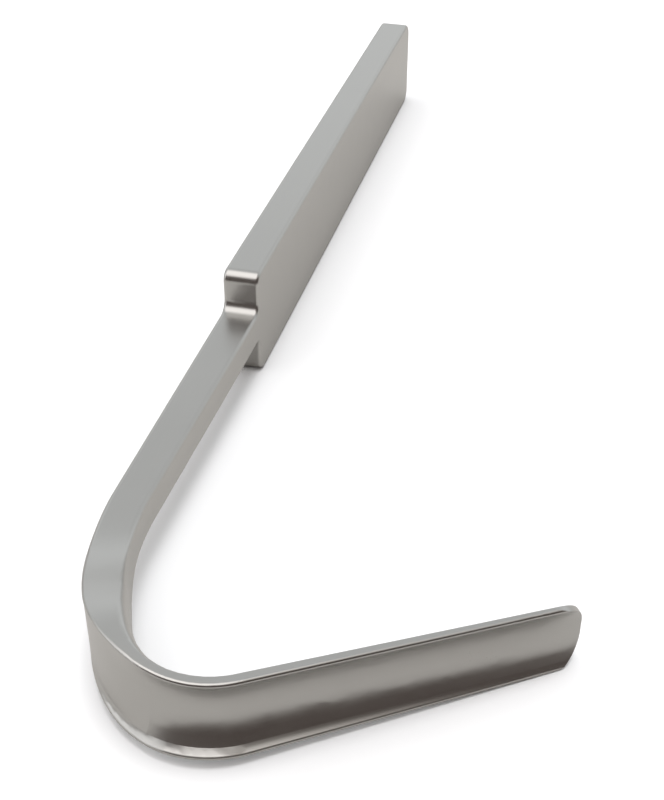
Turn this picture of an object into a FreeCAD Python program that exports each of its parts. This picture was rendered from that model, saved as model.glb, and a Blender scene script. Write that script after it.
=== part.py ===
"""Handheld surgical retractor: a plate handle, a bar shank and one hooked, hollowed blade.

The retractor lies on its side. The handle runs along Y and rests on z = 0 with its lower narrow
side, and the origin is the middle of that side. The shank points to -Y, and the blade hooks round
to +X. The features are drawn from the shoulder between handle and shank, where x = 0 is the outer
face and z = 0 halfway up, and the body's placement moves them. Sizes are in millimetres.
"""
import FreeCAD, Part

import math
import os

import Sketcher
from FreeCAD import Placement, Rotation, Vector

NODE = "retractor"

# Driving dimensions: name, value and what it is. Places of the bend are distances from its start,
# along the outer face.
SIZES = [
    ("handle_length", 129.0, "shoulder to far end"),
    ("handle_width", 20.0, "plate, vertical as it lies"),
    ("handle_thick", 6.6, "thickness of the plate"),
    ("handle_end_radius", 3.0, "corners of the far end"),
    ("shoulder_edge_radius", 2.0, "outer corners of the shoulder"),
    ("shoulder_root_radius", 2.0, "hollow corners where the shank starts"),
    ("stub_length", 9.0, "start of the shank, in one with the handle"),
    ("shank_length", 52.5, "shoulder to the start of the bend"),
    ("shank_width", 5.5, "bar, vertical as it lies"),
    ("shank_thick", 5.9, "bar where the bend starts"),
    ("edge_radius", 0.7, "long edges of handle and shank"),
    ("lead_radius", 54.5, "outer radius of the gentle start of the bend"),
    ("lead_length", 25.7, "outer face over the gentle start"),
    ("mid_radius", 24.0, "outer radius of the middle of the bend"),
    ("mid_length", 16.15, "outer face over the middle"),
    ("tight_radius", 14.5, "outer radius of the tight end of the bend"),
    ("tight_length", 14.4, "outer face over the tight end"),
    ("flare_start", 5.0, "place where the bar starts to widen"),
    ("flare_end", 39.0, "place where the heel is widest"),
    ("heel_width", 15.8, "widest place of the bend"),
    ("waist_start", 34.0, "place where the heel starts to narrow"),
    ("waist_end", 55.0, "place where the blade has its own width"),
    ("blade_width", 13.8, "blade where the bend ends"),
    ("tip_width", 11.3, "blade at its tip"),
    ("blade_length", 46.8, "end of the bend to the tip"),
    ("tip_radius", 5.4, "corners of the tip"),
    ("thin_start", 18.0, "place where the narrow sides start to thin"),
    ("thin_end", 46.0, "place where they are the blade's rim"),
    ("rim_width", 1.4, "rim at the bend, without its rounded inner edge"),
    ("tip_rim_width", 0.7, "rim at the tip, without its rounded inner edge"),
    ("plate_start", 22.0, "place where the middle starts to thin"),
    ("plate_end", 50.0, "place where it is as thin as the blade"),
    ("plate_thick", 1.1, "middle of the blade"),
    ("tip_thick", 0.8, "middle of the tip"),
    ("lip_start", 22.0, "place where the lips of the outer face start to stand up"),
    ("lip_end", 36.0, "place where they stand as steep as at the blade"),
    ("lip_turn", 60.0, "degrees from the middle of the outer face to its lips"),
    ("tip_lip_turn", 41.0, "the same at the tip"),
    ("floor_start", 30.0, "place where the floor between the lips starts to curve"),
    ("floor_end", 51.0, "place where the floor is as hollow as the blade's"),
    ("floor_turn", 42.0, "degrees from the middle of the floor to its end"),
    ("tip_floor_turn", 35.0, "the same at the tip"),
    ("lip_share", 0.15, "part of the outer face that is lip"),
    ("heel_edge_radius", 2.1, "inner long edges where they are roundest"),
    ("round_place", 31.0, "place where they are roundest"),
    ("round_end", 44.0, "place where they are the rim's"),
    ("rim_edge_radius", 0.15, "inner edges of the rim"),
    ("lip_edge_radius", 0.37, "outer edges of the rim"),
    ("least_floor", 0.4, "degrees that a floor turns which looks flat"),
    ("least_lip", 1.0, "degrees that a lip turns which looks flat"),
]

# The parts of the bend, and the sections that each of them and the blade add to their start.
BEND_PARTS = ("lead", "mid", "tight")
BEND_STEPS = range(1, 5)
BLADE_STEPS = range(1, 3)
DEGREE = math.pi / 180
NEAR = 1e-6

# The sketcher's numbers for the ends and the centre of a curve, and for the axes of a sketch.
EDGE, START, END, CENTRE = range(4)
Y_AXIS, X_AXIS = range(-2, 0)
ORIGIN = X_AXIS

doc = FreeCAD.newDocument("Retractor")
sheet = doc.addObject("Spreadsheet::Sheet", "Sheet")
for row, (alias, value, note) in enumerate(SIZES, start=1):
    sheet.set(f"A{row}", note)
    sheet.set(f"B{row}", str(value))
    sheet.setAlias(f"B{row}", alias)
doc.recompute()


def sized(formula):
    """Turn the names of driving dimensions in a formula into references to the sheet."""
    for alias in sorted((entry[0] for entry in SIZES), key=len, reverse=True):
        formula = formula.replace(f"<{alias}>", f"Sheet.{alias}")
    return formula


def number(formula):
    """Value of a formula for the sizes as they are."""
    return float(sheet.evalExpression(sized(formula)))


def blend(place, start, end):
    """Formula that rises smoothly from 0 to 1 while the place goes from start to end."""
    share = f"min(1; max(0; ({place} - <{start}>) / (<{end}> - <{start}>)))"
    return f"(({share})^3 * (10 - 15 * {share} + 6 * ({share})^2))"


def between(first, last, share):
    return f"({first} + ({last} - {first}) * ({share}))"


def drive(sketch, constraint, formula):
    """Add a dimension to a sketch and bind it to a formula."""
    index = sketch.addConstraint(constraint)
    sketch.setExpression(f"Constraints[{index}]", sized(formula))


def line(start, end):
    return Part.LineSegment(Vector(*start, 0), Vector(*end, 0))


def arc(centre, radius, start_deg, end_deg):
    circle = Part.Circle(Vector(*centre, 0), Vector(0, 0, 1), radius)
    return Part.ArcOfCircle(circle, start_deg * DEGREE, end_deg * DEGREE)


def origin_plane(role):
    return [item for item in body.Origin.OriginFeatures if item.Role == role][0]


def new_sketch(name, support, mode, parameter=0.0):
    sketch = body.newObject("Sketcher::SketchObject", name)
    sketch.AttachmentSupport = support
    sketch.MapMode = mode
    sketch.MapPathParameter = parameter
    return sketch


def tangent_chain(sketch, joints):
    """Join each pair of curve ends smoothly."""
    for first, first_end, second, second_end in joints:
        sketch.addConstraint(Sketcher.Constraint("Tangent", first, first_end, second, second_end))


body = doc.addObject("PartDesign::Body", "Retractor")
body.Label = NODE


# The handle's outline with its shoulders and the start of the shank, seen along +X. In this
# sketch the first axis is Y, the second Z, and the middle of the retractor is at 0.
def handle_outline():
    sketch = new_sketch("HandleOutline", (origin_plane("YZ_Plane"), ""), "FlatFace")
    length, half, stub, bar, end_r, edge_r, root_r = (number(formula) for formula in (
        "<handle_length>", "<handle_width>/2", "<stub_length>", "<shank_width>/2",
        "<handle_end_radius>", "<shoulder_edge_radius>", "<shoulder_root_radius>"))
    geometry = [line((length, -half + end_r), (length, half - end_r))]
    for side in (1, -1):
        upper = side > 0
        geometry += [
            arc((length - end_r, side * (half - end_r)), end_r, 0 if upper else 270, 90 if upper else 360),
            line((length - end_r, side * half), (edge_r, side * half)),
            arc((edge_r, side * (half - edge_r)), edge_r, 90 if upper else 180, 180 if upper else 270),
            line((0, side * (half - edge_r)), (0, side * (bar + root_r))),
            arc((-root_r, side * (bar + root_r)), root_r, 270 if upper else 0, 360 if upper else 90),
            line((-root_r, side * bar), (-stub, side * bar)),
        ]
    geometry.append(line((-stub, bar), (-stub, -bar)))
    sketch.addGeometry(geometry, False)
    upper_side, lower_side, closing = (1, 2, 3, 4, 5, 6), (7, 8, 9, 10, 11, 12), 13
    tangent_chain(sketch, [(0, END, 1, START), (1, END, 2, START), (2, END, 3, START),
                           (3, END, 4, START), (4, END, 5, END), (5, START, 6, START),
                           (0, START, 7, END), (7, START, 8, START), (8, END, 9, END),
                           (9, START, 10, START), (10, END, 11, START), (11, END, 12, START)])
    sketch.addConstraint([
        Sketcher.Constraint("Coincident", upper_side[-1], END, closing, START),
        Sketcher.Constraint("Coincident", lower_side[-1], END, closing, END),
        Sketcher.Constraint("Vertical", 0),
        Sketcher.Constraint("Horizontal", 2),
        Sketcher.Constraint("Horizontal", 6),
        Sketcher.Constraint("Horizontal", 8),
        Sketcher.Constraint("Horizontal", 12),
        Sketcher.Constraint("Vertical", 4),
        Sketcher.Constraint("Vertical", 10),
        Sketcher.Constraint("Symmetric", 2, START, 8, START, X_AXIS),
        Sketcher.Constraint("Symmetric", 6, END, 12, END, X_AXIS),
        Sketcher.Constraint("PointOnObject", 4, START, Y_AXIS),
        Sketcher.Constraint("PointOnObject", 10, START, Y_AXIS),
        Sketcher.Constraint("Equal", 3, 9),
        Sketcher.Constraint("Equal", 5, 11),
    ])
    drive(sketch, Sketcher.Constraint("DistanceX", ORIGIN, START, 0, START, length), "<handle_length>")
    drive(sketch, Sketcher.Constraint("DistanceX", closing, START, ORIGIN, START, stub), "<stub_length>")
    drive(sketch, Sketcher.Constraint("DistanceY", 8, START, 2, START, 2 * half), "<handle_width>")
    drive(sketch, Sketcher.Constraint("DistanceY", 12, END, 6, END, 2 * bar), "<shank_width>")
    drive(sketch, Sketcher.Constraint("Radius", 1, end_r), "<handle_end_radius>")
    drive(sketch, Sketcher.Constraint("Radius", 3, edge_r), "<shoulder_edge_radius>")
    drive(sketch, Sketcher.Constraint("Radius", 5, root_r), "<shoulder_root_radius>")
    return sketch


outline = handle_outline()
plate = body.newObject("PartDesign::Pad", "Handle")
plate.Profile = outline
plate.setExpression("Length", sized("<handle_thick>"))
doc.recompute()


# The long edges of the plate and of the shank's start, but not those of its cut end.
def long_edges(shape):
    end = number("-<stub_length>")
    faces = (0.0, number("<handle_thick>"))
    names = []
    for index, edge in enumerate(shape.Edges, start=1):
        box = edge.BoundBox
        in_face = box.XLength < NEAR and min(abs(box.XMin - x) for x in faces) < NEAR
        if in_face and not (box.YLength < NEAR and abs(box.YMin - end) < NEAR):
            names.append(f"Edge{index}")
    return names


rounding = body.newObject("PartDesign::Fillet", "HandleEdges")
rounding.Base = (plate, long_edges(plate.Shape))
rounding.setExpression("Radius", sized("<edge_radius>"))
doc.recompute()


# The outer face of shank, bend and blade, seen from above: two straight runs and three arcs.
def outer_path():
    sketch = new_sketch("OuterPath", (origin_plane("XY_Plane"), ""), "FlatFace")
    stub, shank, blade = (number(f"<{name}>") for name in ("stub_length", "shank_length", "blade_length"))
    radii = [number(f"<{part}_radius>") for part in BEND_PARTS]
    turns = [number(f"<{part}_length> / <{part}_radius>") / DEGREE for part in BEND_PARTS]
    geometry = [line((0, -stub), (0, -shank))]
    x, y, turned = 0.0, -shank, 0.0
    for radius, turn in zip(radii, turns):
        centre = (x + radius * math.cos(turned * DEGREE), y + radius * math.sin(turned * DEGREE))
        geometry.append(arc(centre, radius, 180 + turned, 180 + turned + turn))
        turned += turn
        x = centre[0] - radius * math.cos(turned * DEGREE)
        y = centre[1] - radius * math.sin(turned * DEGREE)
    tip = (x + blade * math.sin(turned * DEGREE), y - blade * math.cos(turned * DEGREE))
    geometry.append(line((x, y), tip))
    sketch.addGeometry(geometry, False)
    tangent_chain(sketch, [(index, END, index + 1, START) for index in range(4)])
    sketch.addConstraint([
        Sketcher.Constraint("PointOnObject", 0, START, Y_AXIS),
        Sketcher.Constraint("Vertical", 0),
    ])
    drive(sketch, Sketcher.Constraint("DistanceY", 0, START, ORIGIN, START, stub), "<stub_length>")
    drive(sketch, Sketcher.Constraint("DistanceY", 0, END, ORIGIN, START, shank), "<shank_length>")
    for index, part in enumerate(BEND_PARTS, start=1):
        drive(sketch, Sketcher.Constraint("Radius", index, radii[index - 1]), f"<{part}_radius>")
        drive(sketch, Sketcher.Constraint("Angle", index, turns[index - 1] * DEGREE),
              f"<{part}_length> / <{part}_radius> * 1 rad")
    drive(sketch, Sketcher.Constraint("Distance", 4, blade), "<blade_length>")
    return sketch


path = outer_path()
doc.recompute()


# One section across the bar or blade. Its first axis points from the outer face into the metal,
# its second is vertical. Round the outline: narrow side, rounded inner edge, crowned inner face,
# inner edge, narrow side, outer edge, outer face as lip, floor and lip, outer edge. The angles of
# floor and lip say how far the outer face has turned where each of them ends.
def section(name, edge, share, width, thick, side, inner_edge, outer_edge, floor, lip):
    sketch = new_sketch(name, (path, edge), "NormalToEdge", share)
    sketch.AttachmentOffset = Placement(Vector(), Rotation(Vector(0, 0, 1), 180))
    half, reach = f"({width} / 2)", floor_reach(width, outer_edge)
    inner_edge = f"min({inner_edge}; {thick} - {side} + {reach} * tan({floor} * 0.5 deg))"
    h, y, wall, w, ri, ro = (number(formula) for formula in (half, reach, thick, side, inner_edge, outer_edge))
    floor_deg, lip_deg = number(floor), number(lip)
    floor_sin, floor_cos = math.sin(floor_deg * DEGREE), math.cos(floor_deg * DEGREE)
    lip_sin, lip_cos = math.sin(lip_deg * DEGREE), math.cos(lip_deg * DEGREE)
    floor_r = y / floor_sin
    lip_r = (h - y - ro * (1 + lip_sin)) / (lip_sin - floor_sin)
    lip_x, lip_y = ro - (lip_r + ro) * lip_cos, h - ro - (lip_r + ro) * lip_sin
    floor_x = lip_x - (floor_r - lip_r) * floor_cos
    depth = floor_x + floor_r
    crown = wall + depth - w
    inner_r = ((h - ri) ** 2 / (crown - ri) + crown + ri) / 2
    inner_deg = math.asin((h - ri) / (inner_r - ri)) / DEGREE
    sketch.addGeometry([
        line((ro, h), (w, h)),
        arc((w, h - ri), ri, inner_deg, 90),
        arc((w + crown - inner_r, 0), inner_r, -inner_deg, inner_deg),
        arc((w, ri - h), ri, 270, 360 - inner_deg),
        line((w, -h), (ro, -h)),
        arc((ro, ro - h), ro, 180 - lip_deg, 270),
        arc((lip_x, -lip_y), lip_r, -lip_deg, -floor_deg),
        arc((floor_x, 0), floor_r, -floor_deg, floor_deg),
        arc((lip_x, lip_y), lip_r, floor_deg, lip_deg),
        arc((ro, h - ro), ro, 90, 180 + lip_deg),
    ], False)
    sketch.addGeometry(line((depth, 0), (depth + wall, 0)), True)
    tangent_chain(sketch, [(0, END, 1, END), (1, START, 2, END), (2, START, 3, END), (3, START, 4, START),
                           (4, END, 5, END), (5, START, 6, START), (6, END, 7, START), (7, END, 8, START),
                           (8, END, 9, END), (9, START, 0, START)])
    sketch.addConstraint([
        Sketcher.Constraint("Horizontal", 0),
        Sketcher.Constraint("Horizontal", 4),
        Sketcher.Constraint("PointOnObject", 2, CENTRE, X_AXIS),
        Sketcher.Constraint("Symmetric", 7, START, 7, END, X_AXIS),
        Sketcher.Constraint("Vertical", 9, CENTRE, 5, CENTRE),
        Sketcher.Constraint("Equal", 1, 3),
        Sketcher.Constraint("Equal", 9, 5),
        Sketcher.Constraint("Equal", 8, 6),
        Sketcher.Constraint("PointOnObject", 10, START, X_AXIS),
        Sketcher.Constraint("PointOnObject", 10, END, X_AXIS),
        Sketcher.Constraint("PointOnObject", 10, START, 7),
        Sketcher.Constraint("PointOnObject", 10, END, 2),
    ])
    drive(sketch, Sketcher.Constraint("DistanceY", ORIGIN, START, 0, END, h), half)
    drive(sketch, Sketcher.Constraint("DistanceX", ORIGIN, START, 0, END, w), side)
    drive(sketch, Sketcher.Constraint("DistanceX", ORIGIN, START, 9, CENTRE, ro), outer_edge)
    drive(sketch, Sketcher.Constraint("Radius", 1, ri), inner_edge)
    drive(sketch, Sketcher.Constraint("Radius", 9, ro), outer_edge)
    drive(sketch, Sketcher.Constraint("DistanceY", ORIGIN, START, 7, END, y), reach)
    drive(sketch, Sketcher.Constraint("Angle", 7, 2 * floor_deg * DEGREE), f"{floor} * 2 deg")
    drive(sketch, Sketcher.Constraint("Angle", 8, (lip_deg - floor_deg) * DEGREE), f"({lip} - {floor}) * 1 deg")
    drive(sketch, Sketcher.Constraint("DistanceX", 10, START, 10, END, wall), thick)
    return sketch


def floor_reach(width, outer_edge):
    """Half the width of the floor between the lips."""
    return f"(({width} / 2 - {outer_edge}) * (1 - <lip_share>))"


# Where the shank leaves the handle its section is the plain rectangle of the stub's end.
def root_section(name):
    sketch = new_sketch(name, (path, "Edge1"), "NormalToEdge")
    sketch.AttachmentOffset = Placement(Vector(), Rotation(Vector(0, 0, 1), 180))
    reach = floor_reach("<shank_width>", "<edge_radius>")
    h, w, r, y = (number(formula) for formula in ("<shank_width> / 2", "<handle_thick>", "<edge_radius>", reach))
    sketch.addGeometry([
        line((r, h), (w - r, h)),
        arc((w - r, h - r), r, 0, 90),
        line((w, h - r), (w, r - h)),
        arc((w - r, r - h), r, 270, 360),
        line((w - r, -h), (r, -h)),
        arc((r, r - h), r, 180, 270),
        line((0, r - h), (0, -y)),
        line((0, -y), (0, y)),
        line((0, y), (0, h - r)),
        arc((r, h - r), r, 90, 180),
    ], False)
    tangent_chain(sketch, [(0, END, 1, END), (1, START, 2, START), (2, END, 3, END), (3, START, 4, START),
                           (4, END, 5, END), (5, START, 6, START), (8, END, 9, END), (9, START, 0, START)])
    sketch.addConstraint([
        Sketcher.Constraint("Coincident", 6, END, 7, START),
        Sketcher.Constraint("Coincident", 7, END, 8, START),
        Sketcher.Constraint("Horizontal", 0),
        Sketcher.Constraint("Vertical", 2),
        Sketcher.Constraint("Vertical", 6),
        Sketcher.Constraint("Vertical", 7),
        Sketcher.Constraint("Vertical", 8),
        Sketcher.Constraint("PointOnObject", 6, START, Y_AXIS),
        Sketcher.Constraint("Symmetric", 0, END, 4, START, X_AXIS),
        Sketcher.Constraint("Equal", 1, 3),
        Sketcher.Constraint("Equal", 1, 5),
        Sketcher.Constraint("Equal", 1, 9),
    ])
    drive(sketch, Sketcher.Constraint("DistanceY", 4, START, 0, END, 2 * h), "<shank_width>")
    drive(sketch, Sketcher.Constraint("DistanceX", ORIGIN, START, 2, START, w), "<handle_thick>")
    drive(sketch, Sketcher.Constraint("Radius", 1, r), "<edge_radius>")
    drive(sketch, Sketcher.Constraint("DistanceY", 7, START, ORIGIN, START, y), reach)
    drive(sketch, Sketcher.Constraint("DistanceY", ORIGIN, START, 7, END, y), reach)
    return sketch


def bend_section(name, edge, share, place):
    flare = blend(place, "flare_start", "flare_end")
    waist = blend(place, "waist_start", "waist_end")
    heel = blend(place, "thin_start", "round_place")
    rim = blend(place, "round_place", "round_end")
    width = (f"(<shank_width> + (<heel_width> - <shank_width>) * {flare}"
             f" + (<blade_width> - <heel_width>) * {waist})")
    thick = between("<shank_thick>", "<plate_thick>", blend(place, "plate_start", "plate_end"))
    side = between("(<shank_thick> - <edge_radius>)", "<rim_width>", blend(place, "thin_start", "thin_end"))
    inner_edge = (f"(<edge_radius> + (<heel_edge_radius> - <edge_radius>) * {heel}"
                  f" + (<rim_edge_radius> - <heel_edge_radius>) * {rim})")
    outer_edge = between("<edge_radius>", "<lip_edge_radius>", blend(place, "flare_start", "plate_start"))
    floor = between("<least_floor>", "<floor_turn>", blend(place, "floor_start", "floor_end"))
    lip = between("<least_lip>", "<lip_turn>", blend(place, "lip_start", "lip_end"))
    return section(name, edge, share, width, thick, side, inner_edge, outer_edge, floor, lip)


def blade_section(name, share):
    width = between("<blade_width>", "<tip_width>", share)
    side = between("<rim_width>", "<tip_rim_width>", share)
    floor = between("<floor_turn>", "<tip_floor_turn>", share)
    lip = between("<lip_turn>", "<tip_lip_turn>", share)
    thick = between("<plate_thick>", "<tip_thick>", share)
    return section(name, "Edge5", share, width, thick, side, "<rim_edge_radius>", "<lip_edge_radius>",
                   floor, lip)


def add_loft(name, sections):
    loft = body.newObject("PartDesign::AdditiveLoft", name)
    loft.Profile = sections[0]
    loft.Sections = sections[1:]
    doc.recompute()


# Each run starts from the last section of the run before it.
runs = {"shank": [root_section("ShankRoot"), bend_section("ShankEnd", "Edge1", 1, "0")]}
last, place = runs["shank"][-1], "0"
for edge, part in enumerate(BEND_PARTS, start=2):
    runs[part] = [last]
    for step in BEND_STEPS:
        share = step / len(BEND_STEPS)
        along = f"({place} + <{part}_length> * {share})"
        runs[part].append(bend_section(f"{part.title()}{step}", f"Edge{edge}", share, along))
    last = runs[part][-1]
    place += f" + <{part}_length>"
runs["blade"] = [last] + [blade_section(f"Blade{step}", step / len(BLADE_STEPS)) for step in BLADE_STEPS]
doc.recompute()
for name, sections in runs.items():
    add_loft(name.title(), sections)


# The corners of the tip, seen square to the blade. The first axis runs along the blade from its
# end, the second is vertical.
def tip_corners():
    sketch = new_sketch("TipCorners", (path, "Edge5"), "NormalToEdge", 1.0)
    turned = Rotation(Vector(0, 0, -1), Vector(0, -1, 0), Vector(-1, 0, 0), "XYZ")
    sketch.AttachmentOffset = Placement(Vector(), turned)
    corner = "min(<tip_radius>; <tip_width> / 2 - <lip_edge_radius>)"
    reach = between("<tip_width>", "<blade_width>", f"{corner} / <blade_length>") + " / 2"
    top, radius, clear = number(reach), number(corner), number("<tip_width>")
    for side in (1, -1):
        first = sketch.GeometryCount
        low, high = side * (top - radius), side * top
        sketch.addGeometry([
            arc((-radius, low), radius, 0 if side > 0 else 270, 90 if side > 0 else 360),
            line((-radius, high), (-radius, side * clear)),
            line((-radius, side * clear), (radius, side * clear)),
            line((radius, side * clear), (radius, low)),
            line((radius, low), (0, low)),
        ], False)
        at_end, at_side = (START, END) if side > 0 else (END, START)
        sketch.addConstraint([
            Sketcher.Constraint("Coincident", first, at_side, first + 1, START),
            Sketcher.Constraint("Coincident", first + 1, END, first + 2, START),
            Sketcher.Constraint("Coincident", first + 2, END, first + 3, START),
            Sketcher.Constraint("Coincident", first + 3, END, first + 4, START),
            Sketcher.Constraint("Coincident", first + 4, END, first, at_end),
            Sketcher.Constraint("Vertical", first + 1),
            Sketcher.Constraint("Horizontal", first + 2),
            Sketcher.Constraint("Vertical", first + 3),
            Sketcher.Constraint("Horizontal", first + 4),
            Sketcher.Constraint("PointOnObject", first, at_end, Y_AXIS),
            Sketcher.Constraint("Vertical", first, CENTRE, first, at_side),
            Sketcher.Constraint("Horizontal", first, CENTRE, first, at_end),
        ])
        ends = ((ORIGIN, START), (first, at_side)) if side > 0 else ((first, at_side), (ORIGIN, START))
        drive(sketch, Sketcher.Constraint("DistanceY", *ends[0], *ends[1], top), reach)
        ends = ((ORIGIN, START), (first + 2, END)) if side > 0 else ((first + 2, END), (ORIGIN, START))
        drive(sketch, Sketcher.Constraint("DistanceY", *ends[0], *ends[1], clear), "<tip_width>")
        drive(sketch, Sketcher.Constraint("DistanceX", ORIGIN, START, first + 2, END, radius), corner)
        drive(sketch, Sketcher.Constraint("Radius", first, radius), corner)
    return sketch


corners = tip_corners()
doc.recompute()
tip = body.newObject("PartDesign::Pocket", "Tip")
tip.Profile = corners
tip.Midplane = True
tip.setExpression("Length", sized("<blade_width>"))
# The middle of the narrow side that the handle rests on goes to the origin.
body.setExpression("Placement.Base.x", sized("-<handle_thick> / 2"))
body.setExpression("Placement.Base.y", sized("-<handle_length> / 2"))
body.setExpression("Placement.Base.z", sized("<handle_width> / 2"))
doc.recompute()

for item in doc.Objects:
    if {"Invalid", "Error"} & set(item.State):
        raise RuntimeError(f"{item.Name} is not up to date: {item.State}")
if body.Shape.isNull() or not body.Shape.isValid():
    raise RuntimeError(f"{NODE} has no valid shape")
os.makedirs("parts", exist_ok=True)
body.Shape.exportStep(f"parts/{NODE}.step")
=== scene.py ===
"""Looks for the handheld surgical retractor: satin steel on a white table under soft studio light."""
import math

import bpy
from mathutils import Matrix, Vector

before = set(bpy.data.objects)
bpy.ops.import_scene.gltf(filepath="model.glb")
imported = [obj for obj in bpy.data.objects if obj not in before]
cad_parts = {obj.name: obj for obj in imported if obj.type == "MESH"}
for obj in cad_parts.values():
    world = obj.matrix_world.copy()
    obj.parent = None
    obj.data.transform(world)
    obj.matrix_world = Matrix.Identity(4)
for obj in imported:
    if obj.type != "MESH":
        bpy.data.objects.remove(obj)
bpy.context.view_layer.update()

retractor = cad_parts["retractor"]

# Sizes and places in metres, in the frame of the part. The handle lies along Y, and the bend
# turns the blade from -Y round towards +X.
HANDLE_THICK = 0.0066
EDGE_ROUND = 0.0007
SHANK_END = -0.117
BLADE_TURN = math.radians(122.5)

# The camera, from the lines of the photograph: place, angles and focal length.
CAMERA_PLACE = (0.06633, -0.25843, 0.13947)
CAMERA_DOWN = math.radians(35.6)
CAMERA_LEFT = math.radians(14.4)
CAMERA_LENS = 60.9
SENSOR = 36.0
NEAREST = 0.001
FARTHEST = 20.0

# The finish: the two tones of the steel, its roughness, and how far past the shank's end the
# brushing has turned with the blade and starts to turn. The grain is fine across and long along it.
# A pattern is MIDDLE on average, and the shares say how much each pattern moves roughness and tone.
STEEL_DARK = (0.515, 0.512, 0.500)
STEEL_PALE = (0.560, 0.557, 0.545)
STEEL_ROUGH = 0.30
GRAIN_TURNS = (0.030, 0.012)
GRAIN_SCALE = (9000.0, 260.0, 9000.0)
GRAIN_DEPTH = 0.00002
GRAIN_BUMP = 0.04
CLOUD_SCALE = 55.0
SMEAR_SCALE = 240.0
MIDDLE = 0.5
ROUGH_SHARES = {"cloud": 0.06, "smear": 0.03, "grain": 0.05}
TONE_SHARES = {"cloud": 0.5, "grain": 0.6}

# The table: its size, a point of its front edge, its colour as the steel and the shadows have it,
# and its colour in the picture.
TABLE_SIZE = 4.0
TABLE_FRONT = (0.080, -0.150)
TABLE_COLOUR = (0.572, 0.560, 0.542)
TABLE_SEEN = (0.97, 0.98, 1.0)
WHITE = (1.0, 1.0, 1.0)

# What the steel reflects and the table receives, as radiance where white is 1: a pale sky, brighter
# low at the back, a warm and dark side behind the camera, a darker band at the horizon all round,
# and soft lights at the left and overhead.
SKY = (0.65, 0.66, 0.66)
BACK = (0.90, 0.92, 0.925)
WARM = (0.66, 0.62, 0.57)
ROOM = (0.24, 0.23, 0.22)
FRONT = (0.085, 0.065, 0.058)
LEFT_LIGHT = (1.22, 1.21, 1.20)
TOP_LIGHT = (1.75, 1.69, 1.65)
BACK_AIM = Vector((-0.20, 0.98, 0.0)).normalized()
FRONT_AIM = Vector((0.30, -0.95, 0.0)).normalized()
LEFT_AIM = Vector((-0.90, -0.28, 0.36)).normalized()
TOP_AIM = Vector((-0.22, -0.25, 1.0)).normalized()

# Where each of them starts and is full, as the cosine of the angle to its aim, and where it starts
# and ends upwards, as the sine of the height.
BACK_REACH = (0.3, 0.9)
BACK_HEIGHT = (0.40, 0.56)
WARM_REACH = (-0.2, 0.5)
ROOM_HEIGHT = (0.02, 0.18)
FRONT_REACH = (-0.05, 0.45)
FRONT_HEIGHT = (0.62, 0.84)
LEFT_REACH = (0.85, 0.96)
LEFT_HEIGHT = (0.0, 0.2)
TOP_REACH = (0.80, 0.93)

# A wide sun nearly overhead gives the table its shadows.
SUN_POWER = 1.25
SUN_ANGLE = math.radians(24)
SUN_TILT = math.radians(4)


class Signal:
    """A shader value. Sums, differences and products of signals add Math nodes."""

    def __init__(self, tree, socket):
        self.tree = tree
        self.socket = socket

    def math(self, operation, first, second):
        return self.tree.node("ShaderNodeMath", {"operation": operation}, [first, second])

    def __add__(self, other):
        return self.math("ADD", self, other)

    __radd__ = __add__

    def __sub__(self, other):
        return self.math("SUBTRACT", self, other)

    def __rsub__(self, other):
        return self.math("SUBTRACT", other, self)

    def __mul__(self, other):
        return self.math("MULTIPLY", self, other)

    def ramp(self, low, high):
        """Smooth rise from 0 at low to 1 at high."""
        return self.tree.node("ShaderNodeMapRange", {"interpolation_type": "SMOOTHSTEP"},
                              {"Value": self, "From Min": low, "From Max": high})


class Tree:
    """A node tree that is filled by calls."""

    def __init__(self, owner):
        owner.use_nodes = True
        self.nodes = owner.node_tree.nodes
        self.links = owner.node_tree.links
        self.nodes.clear()

    def node(self, kind, settings=None, inputs=None, output=0):
        """Add a node with its settings and the values or links of its sockets."""
        made = self.nodes.new(kind)
        for name, value in (settings or {}).items():
            setattr(made, name, value)
        pairs = inputs.items() if isinstance(inputs, dict) else enumerate(inputs or [])
        for name, value in pairs:
            if isinstance(value, Signal):
                self.links.new(value.socket, made.inputs[name])
            else:
                made.inputs[name].default_value = value
        return Signal(self, made.outputs[output]) if made.outputs else None

    def mix(self, share, first, second):
        """Mix two colours, each a signal or three numbers."""
        pair = [colour if isinstance(colour, Signal) else (*colour, 1.0) for colour in (first, second)]
        return self.node("ShaderNodeMix", {"data_type": "RGBA"}, {0: share, 6: pair[0], 7: pair[1]}, output=2)

    def noise(self, place, scale, detail, roughness=0.5):
        return self.node("ShaderNodeTexNoise", {"noise_dimensions": "3D"},
                         {"Vector": place, "Scale": scale, "Detail": detail, "Roughness": roughness})

    def along(self, aim, direction):
        """Cosine of the angle between two directions."""
        return self.node("ShaderNodeVectorMath", {"operation": "DOT_PRODUCT"}, [aim, direction], output=1)


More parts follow.
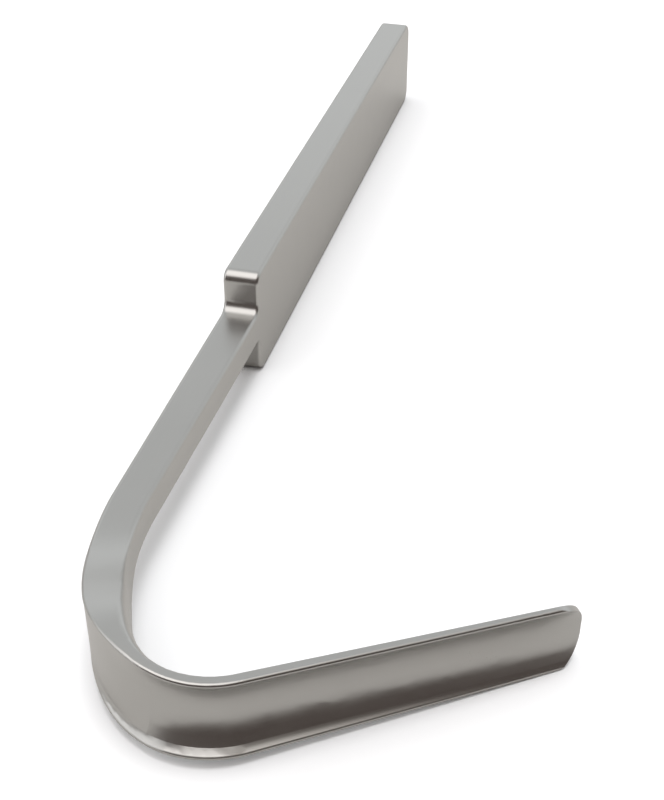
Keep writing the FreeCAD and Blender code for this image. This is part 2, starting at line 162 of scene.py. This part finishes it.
# Satin steel, finely brushed along its length: the grain of handle and shank runs along Y and the
# blade's along the blade.
def satin_steel():
    material = bpy.data.materials.new("satin_steel")
    tree = Tree(material)
    place = tree.node("ShaderNodeTexCoord", output="Object")
    lengthwise = tree.node("ShaderNodeSeparateXYZ", inputs=[place], output="Y")
    in_blade = 1.0 - lengthwise.ramp(*(SHANK_END - turn for turn in GRAIN_TURNS))
    grains = []
    for turn in (0.0, BLADE_TURN):
        lined_up = tree.node("ShaderNodeMapping", {"vector_type": "TEXTURE"},
                             {"Vector": place, "Rotation": (0.0, 0.0, turn)})
        stretched = tree.node("ShaderNodeMapping", {}, {"Vector": lined_up, "Scale": GRAIN_SCALE})
        grains.append(tree.noise(stretched, scale=1.0, detail=3.0, roughness=0.55))
    grain = grains[0] * (1.0 - in_blade) + grains[1] * in_blade
    patterns = {"cloud": tree.noise(place, scale=CLOUD_SCALE, detail=3.0),
                "smear": tree.noise(place, scale=SMEAR_SCALE, detail=2.0),
                "grain": grain}

    def moved(value, shares):
        return sum(((patterns[name] - MIDDLE) * share for name, share in shares.items()), value)

    rough = moved(STEEL_ROUGH, ROUGH_SHARES)
    colour = tree.mix(moved(MIDDLE, TONE_SHARES), STEEL_DARK, STEEL_PALE)
    bump = tree.node("ShaderNodeBump", {}, {"Strength": GRAIN_BUMP, "Distance": GRAIN_DEPTH, "Height": grain})
    shader = tree.node("ShaderNodeBsdfPrincipled", {},
                       {"Base Color": colour, "Metallic": 1.0, "Roughness": rough, "Normal": bump})
    tree.node("ShaderNodeOutputMaterial", {}, {"Surface": shader})
    return material


retractor.data.materials.clear()
retractor.data.materials.append(satin_steel())


# The retractor lies on the handle's inner lower edge and on the tip of the blade, so the table is
# a few degrees off the part's own level.
PIVOT = HANDLE_THICK / 2 - EDGE_ROUND


def rest_angle():
    return min(math.atan2(vertex.co.z, vertex.co.x - PIVOT) for vertex in retractor.data.vertices
               if vertex.co.x > PIVOT + HANDLE_THICK)


# The front edge of the table runs along the blade, just outside the picture.
def white_table():
    half = TABLE_SIZE / 2
    rise = math.tan(rest_angle())
    slant = 1.0 / -math.tan(BLADE_TURN)
    left, right = (TABLE_FRONT[1] + (x - TABLE_FRONT[0]) * slant for x in (-half, half))
    outline = ((-half, left), (half, right), (half, half), (-half, half))
    mesh = bpy.data.meshes.new("table")
    mesh.from_pydata([(x, y, (x - PIVOT) * rise) for x, y in outline], [], [(0, 1, 2, 3)])
    table = bpy.data.objects.new("table", mesh)
    bpy.context.scene.collection.objects.link(table)
    material = bpy.data.materials.new("white_table")
    tree = Tree(material)
    seen = tree.node("ShaderNodeLightPath", output="Is Camera Ray")
    matt = tree.node("ShaderNodeBsdfDiffuse", {}, {"Color": tree.mix(seen, TABLE_COLOUR, TABLE_SEEN)})
    tree.node("ShaderNodeOutputMaterial", {}, {"Surface": matt})
    table.data.materials.append(material)


white_table()


# The world as the steel and the table have it. The camera sees it white.
def studio():
    world = bpy.data.worlds.new("studio")
    bpy.context.scene.world = world
    tree = Tree(world)
    aim = tree.node("ShaderNodeTexCoord", output="Generated")
    height = tree.node("ShaderNodeSeparateXYZ", inputs=[aim], output="Z")
    to_back, to_front, to_left, to_top = (tree.along(aim, direction) for direction in
                                          (BACK_AIM, FRONT_AIM, LEFT_AIM, TOP_AIM))
    light = tree.mix(to_back.ramp(*BACK_REACH) * (1.0 - height.ramp(*BACK_HEIGHT)), SKY, BACK)
    light = tree.mix(to_front.ramp(*WARM_REACH), light, WARM)
    light = tree.mix(height.ramp(*ROOM_HEIGHT), ROOM, light)
    light = tree.mix(to_front.ramp(*FRONT_REACH) * (1.0 - height.ramp(*FRONT_HEIGHT)), light, FRONT)
    light = tree.mix(to_left.ramp(*LEFT_REACH) * height.ramp(*LEFT_HEIGHT), light, LEFT_LIGHT)
    light = tree.mix(to_top.ramp(*TOP_REACH), light, TOP_LIGHT)
    seen = tree.node("ShaderNodeLightPath", output="Is Camera Ray")
    glow = tree.node("ShaderNodeBackground", {}, {"Color": tree.mix(seen, light, WHITE)})
    tree.node("ShaderNodeOutputWorld", {}, {"Surface": glow})


studio()

sun_data = bpy.data.lights.new("sun", "SUN")
sun_data.energy = SUN_POWER
sun_data.angle = SUN_ANGLE
sun = bpy.data.objects.new("sun", sun_data)
sun.visible_glossy = False
sun.rotation_euler = (0.0, SUN_TILT, 0.0)
bpy.context.scene.collection.objects.link(sun)

camera_data = bpy.data.cameras.new("camera")
camera_data.lens = CAMERA_LENS
camera_data.sensor_width = SENSOR
camera_data.clip_start = NEAREST
camera_data.clip_end = FARTHEST
camera = bpy.data.objects.new("camera", camera_data)
camera.location = CAMERA_PLACE
camera.rotation_euler = (math.pi / 2 - CAMERA_DOWN, 0.0, CAMERA_LEFT)
bpy.context.scene.collection.objects.link(camera)
bpy.context.scene.camera = camera
bpy.context.scene.view_settings.view_transform = "Standard"
